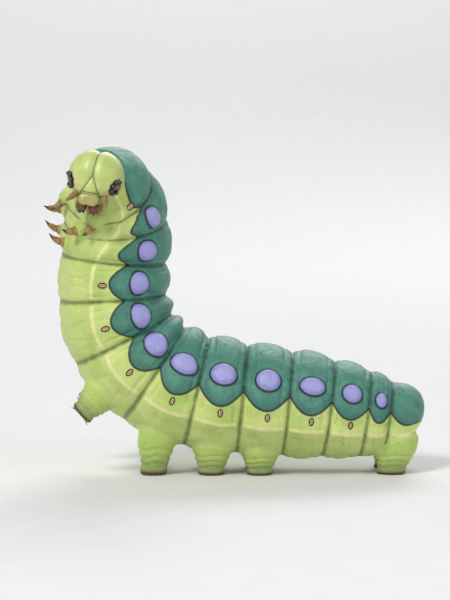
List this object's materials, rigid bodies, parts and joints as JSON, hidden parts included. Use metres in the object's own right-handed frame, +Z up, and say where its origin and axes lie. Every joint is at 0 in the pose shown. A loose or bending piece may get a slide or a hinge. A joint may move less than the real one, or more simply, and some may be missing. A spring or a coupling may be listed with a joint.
{
  "type": "silkworm",
  "caption": "Full-grown green oak silkworm, the plump ringed larva of a moth, that stands on its prolegs, rears its front half and turns its face to the side; a life-size still model.",
  "frame": {"origin": "on the floor, under the middle of the bounding box", "axes": "+X towards the tail end, -Y the side that the face looks to, +Z up"},
  "size_m": [0.0576, 0.0238, 0.0492],
  "materials": {
    "skin": "soft satin skin",
    "foot": "soft satin skin",
    "horn": "glossy hardened shell",
    "eye": "glossy lens"
  },
  "bodies": {
    "root": {"head": "skin", "abdomen_10": "skin", "abdomen_9": "skin", "abdomen_8": "skin", "abdomen_7": "skin", "abdomen_6": "skin", "abdomen_5": "skin", "abdomen_4": "skin", "abdomen_3": "skin", "abdomen_2": "skin", "abdomen_1": "skin", "thorax_3": "skin", "thorax_2": "skin", "thorax_1": "skin", "proleg_left_3": "foot", "proleg_right_3": "foot", "proleg_left_4": "foot", "proleg_right_4": "foot", "proleg_left_5": "foot", "proleg_right_5": "foot", "proleg_left_6": "foot", "proleg_right_6": "foot", "clasper_left": "foot", "clasper_right": "foot", "leg_left_1": "horn", "leg_right_1": "horn", "leg_left_2": "horn", "leg_right_2": "horn", "leg_left_3": "horn", "leg_right_3": "horn", "upper_lip": "skin", "lower_lip": "skin", "jaw_left": "horn", "jaw_right": "horn", "palp_left": "skin", "palp_right": "skin", "feeler_left": "horn", "feeler_right": "horn", "eye_left": "eye", "eye_right": "eye"}
  },
  "joints": []
}
